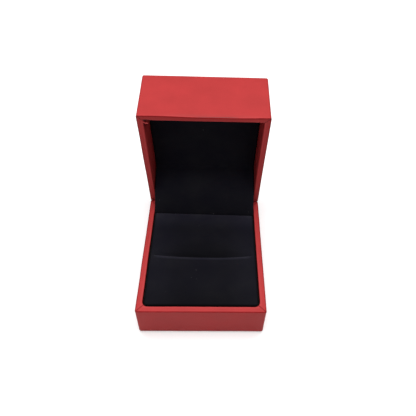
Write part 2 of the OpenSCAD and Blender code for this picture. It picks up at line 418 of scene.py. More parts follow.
def block_cutter(low, high):
    """A block between two corners, to cut with."""
    corners = [(x, y, z) for z in (low[2], high[2])
               for x, y in ((low[0], low[1]), (high[0], low[1]), (high[0], high[1]),
                            (low[0], high[1]))]
    faces = [(0, 1, 2, 3), (4, 5, 6, 7)]
    faces += [(i, (i + 1) % 4, (i + 1) % 4 + 4, i + 4) for i in range(4)]
    return make_piece("cutter", corners, faces, leatherette)


def bar_cutter(radius, length, sides=48):
    """A round bar along the hinge axis."""
    loops = []
    for x in (-length / 2, length / 2):
        angles = [2 * math.pi * i / sides for i in range(sides)]
        loops.append([pivot + Vector((x, radius * math.cos(a), radius * math.sin(a)))
                      for a in angles])
    vertices, faces = loft(loops)
    return make_piece("cutter", vertices, faces, leatherette)


def cut_hinge_room(piece, up):
    """Cuts the window over the hinge leaf, and the notch for the knuckles, in the back wall."""
    hinge_half = leaf_high.x + WINDOW_GAP
    rim_side = pivot.z
    deep_side = pivot.z - up * (pivot.z - leaf_low.z + WINDOW_GAP)
    low = (-hinge_half, half_d - WALL - 1 * MM, min(rim_side, deep_side))
    high = (hinge_half, half_d - SKIN, max(rim_side, deep_side))
    cut(piece, block_cutter(low, high))
    cut(piece, bar_cutter(BARREL_R + BARREL_ROOM, 2 * (leaf_high.x + BARREL_ROOM)))


def base_covering():
    """The leatherette of the base: from under it, up the walls, over the rim and down inside."""
    floor = base_low.z
    under = line((TURN_UNDER, floor), (BOTTOM_EDGE_R, floor), 4)
    edge = arc((BOTTOM_EDGE_R, floor + BOTTOM_EDGE_R), BOTTOM_EDGE_R, 270, 180, 6)
    wall = line(edge[-1], (0, rim_z - 2 * MM), 8)
    wall += line(wall[-1], (0, rim_z - RIM_EDGE_R), 8)
    outer = [(TURN_UNDER, floor)] + under[:-1] + edge + wall[:-1]
    rim = rim_run(rim_z, 1)
    bottom = rim_z - BASE_TURN_IN
    inner = line(rim[-1], (WALL, bottom), 6)
    back = [(WALL - SKIN, bottom), (WALL - SKIN, rim_z - SKIN), (SKIN, rim_z - SKIN),
            (SKIN, floor + SKIN), (TURN_UNDER, floor + SKIN)]
    piece = covering("base_covering", outer, rim, inner + back, 1, BASE_MOUTH_R, 0, leatherette)
    cut_hinge_room(piece, 1)
    return piece


def lid_covering():
    """The leatherette of the lid: from its top, down the walls, round the rim and up inside."""
    top = lid_top_z
    centre = half_w - 0.6 * MM
    cap = line((centre, top), (TOP_EDGE_R, top), 9)
    edge = arc((TOP_EDGE_R, top - TOP_EDGE_R), TOP_EDGE_R, 90, 180, 6)
    wall = line(edge[-1], (0, lid_rim_z + 2 * MM), 11)
    wall += line(wall[-1], (0, lid_rim_z + RIM_EDGE_R), 8)
    outer = [(centre, top)] + cap[:-1] + edge + wall[:-1]
    rim = rim_run(lid_rim_z, -1)
    deep = lid_rim_z + LID_TURN_IN
    inner = line(rim[-1], (WALL, deep), 8)
    back = [(WALL - SKIN, deep), (WALL - SKIN, lid_rim_z + SKIN), (SKIN, lid_rim_z + SKIN),
            (SKIN, top - SKIN), (centre, top - SKIN)]
    piece = covering("lid_covering", outer, rim, inner + back, -1, LID_MOUTH_R, HINGE_BEAD,
                     leatherette)
    cut_hinge_room(piece, -1)
    piece.data.transform(swing_open)
    return piece


# ---- The ring pad ----
PAD_EDGE_R = 1.2 * MM
PAD_CORNER_R = 2.4 * MM
PAD_BACK_EDGE_R = 0.6 * MM
PAD_BACK_CORNER_R = 0.8 * MM
PAD_ROOM = 0.1 * MM
BACK_SLANT = 0.5 * MM
BACK_DROP = 0.28 * MM
BACK_TILT = 0.08 * MM
SLOT_HALF = 24.7 * MM
SLOT_LIP = -2.5 * MM
SLOT_BOW = 1.35 * MM
SLIT = 0.3 * MM
SLIT_DEPTH = 3.0 * MM
LIP_R = 0.8 * MM
SINK = 3.6 * MM
SINK_END = 0.2 * MM
SLOPE = 12.5 * MM
SLOPE_END = 2.5 * MM
PAD_CROWN = 0.35 * MM
PAD_X_STEPS = 64

# ---- Painted light and shade on the pad's pile: the edge share multiplies, and the others add up ----
PAINTED_REAR = 1.18
PAINTED_EDGE = 0.1
PAINTED_SIDES = 0.32
PAINTED_FRONT_SOFT = 0.25
PAINTED_FRONT_LOW = -0.3
PAINTED_LIP_ENDS = 2.5
PAINTED_LIP_MIDDLE = 2.1
PAINTED_HOLLOW = -0.55
PAINTED_BACK = 1.7
PAINTED_BACK_EDGE = 0.5


def pad_stations():
    """Places across the pad, closer together at its ends and at the ends of the slot."""
    side = pad_high.x - PAD_ROOM
    near = [side - PAD_EDGE_R * (1 - math.cos(math.radians(a))) for a in range(0, 90, 12)]
    slot_end = [SLOT_HALF - d * MM for d in (0, 0.25, 0.6, 1.1, 1.8, 2.7)]
    inner = slot_end[-1]
    steps = PAD_X_STEPS // 2
    middle = [inner * (1 - i / steps) for i in range(1, steps)]
    right = near + slot_end + middle
    return [-x for x in right] + [0] + list(reversed(right))


def rounding(reach, radius):
    """How far a rounded edge has drawn in at a distance from where it ends."""
    return radius - math.sqrt(max(radius ** 2 - max(radius - reach, 0) ** 2, 0))


def slant(x):
    """How far the pad's back edge stands back at a place across it: it isn't quite square."""
    return -BACK_SLANT * x / pad_high.x


def slot_gape(x):
    """How far the slot gapes at a place across the pad, as a share of its middle."""
    return 1 - min(abs(x) / SLOT_HALF, 1) ** 2.4


def slot_lip(x):
    """Where the slot's front lip is at a place across the pad."""
    return SLOT_LIP - SLOT_BOW * slot_gape(x) * (1 + 0.2 * x / SLOT_HALF)


def pad_slice(x):
    """The outline of the pad across one place x, from the bottom at the back over the top.

    The slot is a slit between the front cushion, with an upright lip, and the rear cushion,
    which slopes down to it, most in the middle.
    """
    reach = pad_high.x - PAD_ROOM - abs(x)
    front = pad_low.y + PAD_ROOM + rounding(reach, PAD_CORNER_R)
    back = pad_high.y + slant(x) - rounding(reach, PAD_BACK_CORNER_R)
    top = pad_high.z - PAD_CROWN - rounding(reach, PAD_EDGE_R)
    gape = slot_gape(x)
    lip = slot_lip(x)
    sink = mix(SINK_END, SINK, gape ** 0.75) * smoothstep(0, 1 * MM, reach)
    slope = mix(SLOPE_END, SLOPE, gape ** 0.8)
    rear = lip + SLIT * mix(0.4, 1, gape)
    shelf = top - sink
    deep = shelf - mix(0.05 * MM, SLIT_DEPTH, smoothstep(0, 0.35, gape))
    lip_r = min(LIP_R, 0.8 * (top - deep))

    # Up the back and over the rear cushion
    points = [(back, pad_low.z)]
    points += line((back, pad_low.z), (back, top - PAD_BACK_EDGE_R), 5)
    points += arc((back - PAD_BACK_EDGE_R, top - PAD_BACK_EDGE_R), PAD_BACK_EDGE_R, 0, 90, 5)[1:]
    points += line(points[-1], (rear + slope, top), 12)
    # Down the slope and into the slit
    for i in range(1, 19):
        t = i / 18
        points.append((rear + slope * (1 - t), top - sink * t ** 2.3))
    points += line(points[-1], (rear, deep), 4)
    points += line(points[-1], (lip, deep), 2)
    # Up the front lip
    points += line(points[-1], (lip, top - lip_r), 7)
    points += [(lip - lip_r * (1 - math.cos(t)), top - lip_r * (1 - math.sin(t)))
               for t in (math.radians(15 * i) for i in range(1, 7))]
    # Over the front cushion, down the front, and along the bottom
    points += line(points[-1], (front + PAD_EDGE_R, top), 22)
    points += arc((front + PAD_EDGE_R, top - PAD_EDGE_R), PAD_EDGE_R, 90, 180, 7)[1:]
    points += line((front, top - PAD_EDGE_R), (front, pad_low.z), 5)
    points += line(points[-1], (back, pad_low.z), 12)[:-1]

    def raised(y, z):
        """Lifts the top of each cushion in its middle, and lowers the pad's back edge."""
        if y > lip:
            share = (y - rear) / (back - rear)
        else:
            share = (y - front) / (lip - front)
        swell = max(1 - (2 * min(max(share, 0), 1) - 1) ** 4, 0)
        crown = PAD_CROWN * (1 - (x / pad_high.x) ** 4)
        drop = (BACK_DROP + BACK_TILT * x / pad_high.x) * smoothstep(back - 8 * MM, back, y)
        return z + (crown * swell - drop) * smoothstep(top - 3 * MM, top, z)

    return [Vector((x, y, raised(y, z))) for y, z in points]


def pad_painted_light(point):
    """How pale the pad's pile is painted: a painted highlight on the lip, painted shade by the
    slot.

    Painted shade is darkest on the rounded edges beside the walls; the back is painted paler.
    """
    across = abs(point.x) / SLOT_HALF
    ahead = slot_lip(point.x) - point.y
    reach = min(pad_high.x - PAD_ROOM - abs(point.x), point.y - pad_low.y - PAD_ROOM)
    # Painted shade on the rounded edges beside the walls, and painted light towards the ends of the
    # slot
    edge = mix(PAINTED_EDGE, 1, smoothstep(0.15 * MM, PAD_EDGE_R, reach))
    sides = PAINTED_SIDES * smoothstep(0.4, 0.95, across)
    if ahead > 0:
        # Ahead of the slot: painted light on the front cushion, a painted highlight along the lip,
        # painted shade towards the front
        soft = PAINTED_FRONT_SOFT * smoothstep(9 * MM, 1 * MM, ahead)
        most = mix(PAINTED_LIP_ENDS, PAINTED_LIP_MIDDLE, slot_gape(point.x))
        paleness = most * smoothstep(1.5 * MM, 0.4 * MM, ahead) * smoothstep(1.02, 0.9, across)
        low = PAINTED_FRONT_LOW * smoothstep(14 * MM, 26 * MM, ahead)
        return edge * (1 + soft + paleness + low + sides)
    # Behind the slot: painted shade in the hollow, painted light towards the back and along the
    # back edge
    behind = -ahead
    arch = smoothstep(1.0, 0.25, across + 0.5 * smoothstep(2 * MM, 16 * MM, behind))
    pile_tone = PAINTED_HOLLOW * arch * smoothstep(16 * MM, 1 * MM, behind)
    back = pad_high.y + slant(point.x) - point.y
    painted_pale = PAINTED_BACK * smoothstep(12 * MM, 0, back)
    painted_pale += PAINTED_BACK_EDGE * smoothstep(1.1 * MM, 0.5 * MM, back)
    return edge * (PAINTED_REAR + pile_tone + painted_pale + sides)


def ring_pad():
    """The velvet-covered pad that holds the ring."""
    vertices, faces = loft([pad_slice(x) for x in pad_stations()])
    piece = make_piece("ring_pad", vertices, faces, velvet, smooth_angle=70)
    # The nap attribute is painted light and shade on the pile
    set_attribute(piece, "nap", [pad_painted_light(v.co) for v in piece.data.vertices])
    puff(piece)
    return piece


# ---- The swelling of the pad ----
PUFF_SCALE = 10
PUFF_PRESSURE = 3.0
PUFF_FRAMES = 20
PUFF_CAP = 0.45 * MM
PUFF_HEIGHT = 0.3 * MM
HELD_BY_SLOT = 2.0 * MM
FIXED_SIDE = 3 * MM


def puff(piece):
    """Lets the velvet of the pad swell and settle over its foam, by a cloth simulation.

    The cloth is simulated at ten times its size. Its bottom and the slot are held, and no point
    moves further than the cap, or down into the foam.
    """
    start = [v.co.copy() for v in piece.data.vertices]
    mesh = piece.data.copy()
    mesh.transform(Matrix.Scale(PUFF_SCALE, 4))
    copy = bpy.data.objects.new("pad_cloth", mesh)
    bpy.context.collection.objects.link(copy)
    held = copy.vertex_groups.new(name="held")
    for vertex, point in zip(mesh.vertices, start):
        low = 1 - smoothstep(pad_low.z + 1 * MM, pad_high.z - 2.5 * MM, point.z)
        by_slot = smoothstep(2.5 * MM, 1.2 * MM, abs(point.y - slot_lip(point.x)))
        held.add([vertex.index], max(low, by_slot), "REPLACE")
    cloth = copy.modifiers.new("cloth", "CLOTH")
    settings = cloth.settings
    settings.quality = 6
    settings.mass = 0.3
    settings.tension_stiffness = 25
    settings.compression_stiffness = 12
    settings.shear_stiffness = 12
    settings.bending_stiffness = 0.6
    settings.use_pressure = True
    settings.uniform_pressure_force = PUFF_PRESSURE
    settings.effector_weights.gravity = 0
    settings.vertex_group_mass = "held"
    settings.pin_stiffness = 1
    cloth.collision_settings.use_collision = False
    scene = bpy.context.scene
    for number in range(1, PUFF_FRAMES + 1):
        scene.frame_set(number)
    evaluated = copy.evaluated_get(bpy.context.evaluated_depsgraph_get())
    ended = [v.co / PUFF_SCALE for v in evaluated.data.vertices]
    scene.frame_set(1)
    bpy.data.objects.remove(copy)
    for vertex, first, last in zip(piece.data.vertices, start, ended):
        move = last - first
        if move.length > PUFF_CAP:
            move = move.normalized() * PUFF_CAP
        vertex.co = keep_in_pad(first + move, first)


def keep_in_pad(point, first):
    """Keeps a point of the pad clear of the walls, of the flap behind it and of its foam."""
    if first.z < pad_low.z + 1 * MM:
        return first
    point.x = min(max(point.x, pad_low.x), pad_high.x)
    if abs(first.x) > pad_high.x - FIXED_SIDE:
        point.x = first.x
    if first.y < pad_low.y + FIXED_SIDE or first.y > pad_high.y - FIXED_SIDE:
        point.y = first.y
    if abs(first.y - slot_lip(first.x)) < HELD_BY_SLOT:
        return first
    point.z = min(max(point.z, first.z), pad_high.z + PUFF_HEIGHT)
    return point


# ---- The velvet sheet: lid lining and hinge flap in one ----
SHEET_T = 0.6 * MM
LINING_EDGE_R = 0.7 * MM
LINING_TURN = 2.0 * MM
FLAP_TURN = 0.75 * MM
FLAP_ROOT = 14.0 * MM
FLAP_BOW = 2.6 * MM
FLAP_TAIL = 10.0 * MM
KINK_R = 1.2 * MM
FLAP_RIPPLE = 0.22 * MM
FLAP_RIPPLE_X = 16 * MM
FLAP_RIPPLE_Y = 9 * MM
SHEET_RIPPLE = 0.12 * MM
SHEET_RIPPLE_LENGTH = 11 * MM
LANDING_GAP = 0.06 * MM
LANDING_DROP = 0.25 * MM
LANDING_R = 0.8 * MM
SHEET_STEP = 0.9 * MM


def fillet(before, corner, after, radius, steps):
    """Points that round the corner of a path."""
    into = (corner - before).normalized()
    out = (after - corner).normalized()
    start = corner - into * radius
    end = corner + out * radius
    points = []
    for i in range(steps + 1):
        t = i / steps
        points.append((1 - t) ** 2 * start + 2 * t * (1 - t) * corner + t * t * end)
    return points


def spaced(points, step):
    """The same path with its points about a step apart."""
    runs = [(b - a).length for a, b in zip(points, points[1:])]
    total = sum(runs)
    count = max(round(total / step), 1)
    placed = []
    for i in range(count + 1):
        want = total * i / count
        for a, b, run in zip(points, points[1:], runs):
            if want <= run or b is points[-1]:
                placed.append(a + (b - a) * min(want / run, 1))
                break
            want -= run
    return placed


def opened(y, z):
    """Where a point (y, z) of the shut lid is when the lid is open."""
    moved = swing_open @ Vector((0, y, z))
    return Vector((moved.y, moved.z))


def sheet_path():
    """The sheet's visible side in (y, z): down the lining, over the hinge, behind the pad.

    Also gives the length of the part that is on the lining.
    """
    face = lining_low.z
    front = lining_low.y
    turned = [opened(front, face + LINING_TURN)]
    turned += [opened(y, z) for y, z in arc((front + LINING_EDGE_R, face + LINING_EDGE_R),
                                            LINING_EDGE_R, 180, 270, 6)]
    root = opened(half_d - FLAP_ROOT, face)
    landing = Vector((pad_high.y + LANDING_GAP,
                      pad_high.z - PAD_CROWN - BACK_DROP - LANDING_DROP))
    span = bow(landing, root, FLAP_BOW, 40)
    span.reverse()
    tail = Vector((landing.x, landing.y - FLAP_TAIL))
    kink = fillet(turned[-1], root, span[3], KINK_R, 8)
    past = [p for p in span if (p - root).length > 2 * KINK_R]
    on_lining = sum((b - a).length for a, b in zip(turned, turned[1:]))
    on_lining += (root - turned[-1]).length
    path = turned + kink + past[:-2]
    path += fillet(past[-2], past[-1], tail, LANDING_R, 6)
    path.append(tail)
    return path, on_lining


def sheet_section(half, turn, radius):
    """The sheet's closed cross-section in (x, depth): its visible side, then its back."""
    right = arc((half - radius, -radius), radius, 90, 0, 5)
    flat = line((-(half - radius), 0), right[0], 44)[:-1]
    left = [(-x, d) for x, d in reversed(right)]
    visible = [(-half, -turn)] + left + flat + right + [(half, -turn)]
    inner = half - SHEET_T
    back_right = [(inner, -turn), (inner, -SHEET_T)]
    back_flat = line((inner, -SHEET_T), (-inner, -SHEET_T), 12)[:-1]
    back_left = [(-inner, -SHEET_T), (-inner, -turn)]
    return visible + back_right + back_flat + back_left


def velvet_sheet():
    """The lid's lining and the hinge flap, as one sheet, and the length that it was cut to."""
    path, on_lining = sheet_path()
    points = spaced(path, SHEET_STEP)
    along = 0
    total = sum((b - a).length for a, b in zip(points, points[1:]))
    loops = []
    sheet_painted_light = []
    for i, point in enumerate(points):
        if i:
            along += (point - points[i - 1]).length
        ahead = points[min(i + 1, len(points) - 1)] - points[max(i - 1, 0)]
        ahead.normalize()
        facing = Vector((ahead.y, -ahead.x))
        free = smoothstep(on_lining, on_lining + 4 * MM, along)
        free *= smoothstep(total - FLAP_TAIL, total - FLAP_TAIL - 4 * MM, along)
        landed = smoothstep(on_lining, total - FLAP_TAIL, along)
        turn = mix(LINING_TURN, FLAP_TURN, smoothstep(on_lining - 5 * MM, on_lining, along))
        half = lining_high.x
        loop = []
        for x, depth in sheet_section(half, turn, LINING_EDGE_R):
            wave = noise.noise(Vector((x / FLAP_RIPPLE_X, along / FLAP_RIPPLE_Y, 3.7)))
            depth += wave * FLAP_RIPPLE * free
            depth += SHEET_RIPPLE * noise.noise(
                Vector((x / SHEET_RIPPLE_LENGTH, along / SHEET_RIPPLE_LENGTH, 9.1)))
            spot = point + facing * depth
            loop.append(Vector((x, spot.x + slant(x) * landed, spot.y)))
        loops.append(loop)
        # Painted light on the pile: paler on the lining, palest where it bends over the hinge, less
        # pale down the flap
        painted_pale = 1.25 + 0.75 * smoothstep(0.3 * on_lining, on_lining, along)
        sheet_painted_light += [mix(painted_pale, 1.15, smoothstep(on_lining, total - FLAP_TAIL, along))] * len(loop)
    vertices, faces = loft(loops)
    piece = make_piece("velvet_lining_and_flap", vertices, faces, velvet, smooth_angle=70)
    set_attribute(piece, "nap", sheet_painted_light)
    return piece, total


# ---- The lifted end of the lid's turned-in covering, at its front left corner ----
TONGUE_T = 0.4 * MM
TONGUE_CLEAR = 0.1 * MM
TONGUE_CUP = 0.25
TONGUE_SIDES = 16
# How much paler the tongue is painted: painted light for what the lid's rim keeps off it
TONGUE_PAINTED_LIGHT = 2.0
TONGUE_SPOTS = [
    # x and y with the lid shut, half of the width, and how far it has rolled over in degrees
    (-29.3, -32.4, 0.15, 0),
    (-28.9, -31.6, 0.4, 18),
    (-28.5, -30.8, 0.58, 40),
    (-28.0, -30.0, 0.66, 60),
    (-27.3, -29.4, 0.64, 74),
    (-26.5, -29.0, 0.52, 80),
    (-25.7, -28.85, 0.34, 82),
    (-24.9, -28.85, 0.1, 83),
]


def smooth_row(spots, steps):
    """Points on a smooth curve through rows of numbers (Catmull-Rom)."""
    rows = [Vector(spot) for spot in spots]
    rows = [2 * rows[0] - rows[1]] + rows + [2 * rows[-1] - rows[-2]]
    found = []
    for before, a, b, after in zip(rows, rows[1:], rows[2:], rows[3:]):
        for i in range(steps):
            t = i / steps
            found.append(0.5 * (2 * a + (b - before) * t
                                + (2 * before - 5 * a + 4 * b - after) * t ** 2
                                + (3 * a - before - 3 * b + after) * t ** 3))
    return found + [rows[-2]]


def lifted_tongue():
    """A tongue of leatherette that has sprung out of the corner and curls into the lid."""
    rows = smooth_row(TONGUE_SPOTS, 6)
    loops = []
    for i, row in enumerate(rows):
        half = row[2] * MM
        roll = math.radians(row[3])
        # Just clear of the rim of the base when the lid is shut
        deep = half * math.sin(roll) + TONGUE_T / 2 * math.cos(roll)
        place = Vector((row[0] * MM, row[1] * MM, rim_z + TONGUE_CLEAR + deep))
        ahead = rows[min(i + 1, len(rows) - 1)] - rows[max(i - 1, 0)]
        ahead = Vector((ahead[0], ahead[1], 0)).normalized()
        facing = Vector((0, -math.sin(roll), -math.cos(roll)))
        across = ahead.cross(facing).normalized()
        facing = across.cross(ahead).normalized()
        loop = []
        for step in range(TONGUE_SIDES):
            turn = 2 * math.pi * step / TONGUE_SIDES
            cup = TONGUE_CUP * half * math.cos(turn) ** 2
            loop.append(place + across * half * math.cos(turn)
                        + facing * (TONGUE_T / 2 * math.sin(turn) - cup))
        loops.append(loop)
    vertices, faces = loft(loops)
    piece = make_piece("lid_corner_tongue", vertices, faces, leatherette)
    # Painted light: the whole tongue is painted paler
    set_attribute(piece, "edge", [TONGUE_PAINTED_LIGHT] * len(vertices))
    piece.data.transform(swing_open)
    return piece


# ---- The snap spring ----
SPRING_T = 0.3 * MM
SPRING_BOW = 4.4 * MM
SPRING_EDGE = 0.08 * MM
FOOT_LOW = 12.4 * MM
FOOT_HIGH = 15.6 * MM


def snap_spring():
    """A bowed strip of steel between the two leaves, with a flat foot on each."""
    middle_y = leaf_low.y - SPRING_T / 2
    gap = 2 * pivot.z
    low_foot = [Vector((middle_y, FOOT_LOW)), Vector((middle_y, FOOT_HIGH))]
    high_foot = [opened(middle_y, gap - FOOT_HIGH), opened(middle_y, gap - FOOT_LOW)]
    span = bow(low_foot[1], high_foot[0], SPRING_BOW, 40)
    path = spaced([low_foot[0]] + span + [high_foot[1]], 0.35 * MM)
    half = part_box("hinge_spring")[1].x
    thick = SPRING_T / 2
    section = []
    for sx, sd in ((-1, 1), (1, 1), (1, -1), (-1, -1)):
        cut_x = (sx * (half - SPRING_EDGE), sd * thick)
        cut_d = (sx * half, sd * (thick - SPRING_EDGE))
        section += [cut_d, cut_x] if sx * sd < 0 else [cut_x, cut_d]
    loops = []
    for i, point in enumerate(path):
        ahead = path[min(i + 1, len(path) - 1)] - path[max(i - 1, 0)]
        ahead.normalize()
        left = Vector((-ahead.y, ahead.x))
        loop = []
        for x, depth in section:
            spot = point + left * depth
            loop.append(Vector((x, spot.x, spot.y)))
        loops.append(loop)
    vertices, faces = loft(loops)
    return make_piece("snap_spring", vertices, faces, spring_steel), low_foot[1], high_foot[0]


# ---- Materials ----
def start_material(name):
    """A new material, its shader, and a function that adds a node and links its inputs."""
    made = bpy.data.materials.new(name)
    made.use_nodes = True
    tree = made.node_tree
    shader = tree.nodes["Principled BSDF"]

    def add(kind, inputs=None, **settings):
        node = tree.nodes.new(kind)
        for key, value in settings.items():
            setattr(node, key, value)
        join(node, inputs or {})
        return node

    def join(node, inputs):
        for key, value in inputs.items():
            if isinstance(value, bpy.types.NodeSocket):
                tree.links.new(value, node.inputs[key])
            else:
                node.inputs[key].default_value = value

    return made, shader, add, join


def noise_of(add, place, scale, detail=2.0, roughness=0.5):
    """Soft noise of 0 to 1, with scale blotches to the metre."""
    node = add("ShaderNodeTexNoise", {"Vector": place, "Scale": scale, "Detail": detail,
                                      "Roughness": roughness})
    return node.outputs["Fac"]


def ramp_of(add, value, stops):
    """A colour ramp through (position, (r, g, b)) stops."""
    node = add("ShaderNodeValToRGB", {"Fac": value})
    ramp = node.color_ramp
    while len(ramp.elements) < len(stops):
        ramp.elements.new(0.5)
    for element, (position, colour) in zip(ramp.elements, stops):
        element.position = position
        element.color = (*colour, 1)
    return node.outputs["Color"]


def scaled(add, value, low, high):
    """Maps a value of 0 to 1 onto low to high."""
    node = add("ShaderNodeMapRange", {"Value": value, "To Min": low, "To Max": high})
    return node.outputs["Result"]


def mixed(add, factor, a, b):
    """Mixes two colours by a factor."""
    node = add("ShaderNodeMix", data_type="RGBA")
    for key, value in ((0, factor), (6, a), (7, b)):
        if isinstance(value, bpy.types.NodeSocket):
            node.id_data.links.new(value, node.inputs[key])
        elif key == 0:
            node.inputs[key].default_value = value
        else:
            node.inputs[key].default_value = (*value, 1)
    return node.outputs[2]


def computed(add, operation, a, b):
    """The result of an operation on two values."""
    node = add("ShaderNodeMath", {0: a, 1: b}, operation=operation)
    return node.outputs["Value"]


def bumped(add, height, distance, strength=1.0, normal=None):
    """A relief on the surface, over another one if normal gives it."""
    inputs = {"Height": height, "Distance": distance, "Strength": strength}
    if normal is not None:
        inputs["Normal"] = normal
    return add("ShaderNodeBump", inputs).outputs["Normal"]


def object_place(add):
    """Where a point is, in the shared frame."""
    return add("ShaderNodeTexCoord").outputs["Object"]


def make_leatherette():
    """Red coated paper-backed leatherette: a fine pebbled grain, paler on the edges from wear and a
    painted highlight, with painted shade in the mitres, on the rim's edge and in the mouth.
    """
    made, shader, add, join = start_material("red_leatherette")
    place = object_place(add)
    grain_cells = add("ShaderNodeTexVoronoi", {"Vector": place, "Scale": 2600.0,
                                               "Randomness": 1.0}).outputs["Distance"]
    grain_fine = noise_of(add, place, 5200.0, 3.0)
    cloudy = noise_of(add, place, 110.0, 3.0)
    mitre = add("ShaderNodeAttribute", attribute_name="mitre").outputs["Fac"]
    edge = add("ShaderNodeAttribute", attribute_name="edge").outputs["Fac"]
    painted_edge_shade = add("ShaderNodeAttribute", attribute_name="painted_edge_shade").outputs["Fac"]

    plain = ramp_of(add, cloudy, [(0.3, (0.38, 0.031, 0.031)), (0.7, (0.424, 0.0345, 0.035))])
    grained = mixed(add, scaled(add, grain_cells, 0.0, 0.16), plain, (0.26, 0.018, 0.019))
    scuffs_and_highlights = computed(add, "MULTIPLY", edge, scaled(add, noise_of(add, place, 700.0, 4.0),
                                                    0.2, 0.9))
    # Wear on the edges, with a painted highlight along the lid's edge by the rim and along the
    # mouth; the tongue is painted paler still
    worn_and_highlit = mixed(add, scuffs_and_highlights, grained, (0.49, 0.058, 0.06))
    # Painted shade on the rim's rounded outer edge and on the rim beside the hinge
    with_edge_shade = mixed(add, painted_edge_shade, worn_and_highlit, (0.245, 0.006, 0.008))
    # Painted shade in the mitre grooves, inside the mouth and in the crevice at the lid's corner
    with_painted_shade = mixed(add, mitre, with_edge_shade, (0.1, 0.006, 0.009))
    grain = computed(add, "ADD", grain_cells, computed(add, "MULTIPLY", grain_fine, 0.5))
    relief = bumped(add, grain, 0.00002, 0.55)
    uneven = bumped(add, noise_of(add, place, 260.0, 2.0), 0.00009, 0.6, relief)
    join(shader, {"Base Color": with_painted_shade,
                  "Roughness": scaled(add, cloudy, 0.42, 0.54),
                  "Specular IOR Level": 0.09,
                  "Normal": uneven})
    return made


def make_velvet():
    """Black short-pile velvet: it drinks light, and catches a little at grazing angles."""
    made, shader, add, join = start_material("black_velvet")
    place = object_place(add)
    nap = noise_of(add, place, 130.0, 4.0, 0.6)
    brushed = noise_of(add, place, 45.0, 2.0)
    pile = noise_of(add, place, 6000.0, 2.0)
    shade = computed(add, "MULTIPLY", nap, brushed)
    # The nap attribute scales the colour: painted light and shade on the pad's and the sheet's pile
    paleness = add("ShaderNodeAttribute", attribute_name="nap").outputs["Fac"]
    pile_tone = ramp_of(add, shade, [(0.1, (0.0035, 0.0033, 0.0061)),
                                 (0.44, (0.0066, 0.0064, 0.0084))])
    colour = add("ShaderNodeVectorMath", {0: pile_tone, "Scale": paleness},
                 operation="SCALE").outputs["Vector"]
    specks = add("ShaderNodeTexVoronoi", {"Vector": place, "Scale": 330.0,
                                          "Randomness": 1.0}).outputs["Distance"]
    speck_here = add("ShaderNodeMapRange", {"Value": specks, "From Min": 0.055,
                                            "From Max": 0.025}).outputs["Result"]
    rare = add("ShaderNodeMapRange", {"Value": noise_of(add, place, 90.0, 0.0),
                                      "From Min": 0.62, "From Max": 0.66}).outputs["Result"]
    lint = mixed(add, computed(add, "MULTIPLY", speck_here, rare), colour, (0.2, 0.2, 0.205))
    join(shader, {"Base Color": lint,
                  "Roughness": scaled(add, nap, 0.85, 1.0),
                  "Specular IOR Level": 0.08,
                  "Sheen Weight": 0.065,
                  "Sheen Roughness": 0.3,
                  "Sheen Tint": (1.0, 0.98, 0.84, 1),
                  "Normal": bumped(add, pile, 0.00004, 0.7)})
    return made


def make_steel(name, colour, scale_along, roughness):
    """Brushed or rolled steel, with fine lines along one way and faint stains."""
    made, shader, add, join = start_material(name)
    place = object_place(add)
    stretched = add("ShaderNodeMapping", {"Vector": place, "Scale": scale_along})
    lines = noise_of(add, stretched.outputs["Vector"], 1.0, 3.0)
    stains = noise_of(add, place, 320.0, 3.0)
    dark = tuple(c * 0.62 for c in colour)
    join(shader, {"Base Color": ramp_of(add, stains, [(0.25, dark), (0.6, colour)]),
                  "Metallic": 1.0,
                  "Roughness": scaled(add, lines, roughness - 0.08, roughness + 0.14),
                  "Normal": bumped(add, lines, 0.00001, 0.5)})
    return made


def make_plastic():
    """Dark moulded polystyrene with a faint spark-eroded texture."""
    made, shader, add, join = start_material("shell_plastic")
    place = object_place(add)
    texture = noise_of(add, place, 3500.0, 2.0)
    flow = noise_of(add, place, 60.0, 2.0)
    join(shader, {"Base Color": ramp_of(add, flow, [(0.3, (0.022, 0.02, 0.02)),
                                                    (0.7, (0.036, 0.032, 0.032))]),
                  "Roughness": scaled(add, texture, 0.5, 0.68),
                  "Normal": bumped(add, texture, 0.00002, 0.4)})
    return made


def make_underside_paper():
    """Flocked black paper under the base: matt, with short fibres and a few rubbed places."""
    made, shader, add, join = start_material("underside_paper")
    place = object_place(add)
    fibres = noise_of(add, place, 2400.0, 4.0, 0.7)
    paleness = noise_of(add, place, 120.0, 3.0)
    join(shader, {"Base Color": ramp_of(add, paleness, [(0.35, (0.012, 0.011, 0.012)),
                                                      (0.75, (0.032, 0.03, 0.031))]),
                  "Roughness": scaled(add, fibres, 0.85, 1.0),
                  "Specular IOR Level": 0.15,
                  "Normal": bumped(add, fibres, 0.00005, 0.8)})
    return made


def make_card():
    """Grey-brown pulp card with flecks."""
    made, shader, add, join = start_material("card")
    place = object_place(add)
    flecks = noise_of(add, place, 900.0, 5.0, 0.7)
    join(shader, {"Base Color": ramp_of(add, flecks, [(0.3, (0.17, 0.13, 0.085)),
                                                      (0.65, (0.31, 0.25, 0.17))]),
                  "Roughness": scaled(add, flecks, 0.82, 0.95),
                  "Normal": bumped(add, flecks, 0.00004, 0.5)})
    return made


def make_foam():
    """Charcoal foam with open cells."""
    made, shader, add, join = start_material("foam")
    place = object_place(add)
    cells = add("ShaderNodeTexVoronoi", {"Vector": place, "Scale": 1500.0}).outputs["Distance"]
    join(shader, {"Base Color": ramp_of(add, cells, [(0.1, (0.02, 0.02, 0.023)),
                                                     (0.6, (0.065, 0.065, 0.073))]),
                  "Roughness": scaled(add, cells, 0.85, 1.0),
                  "Normal": bumped(add, cells, 0.0001, 0.8)})
    return made


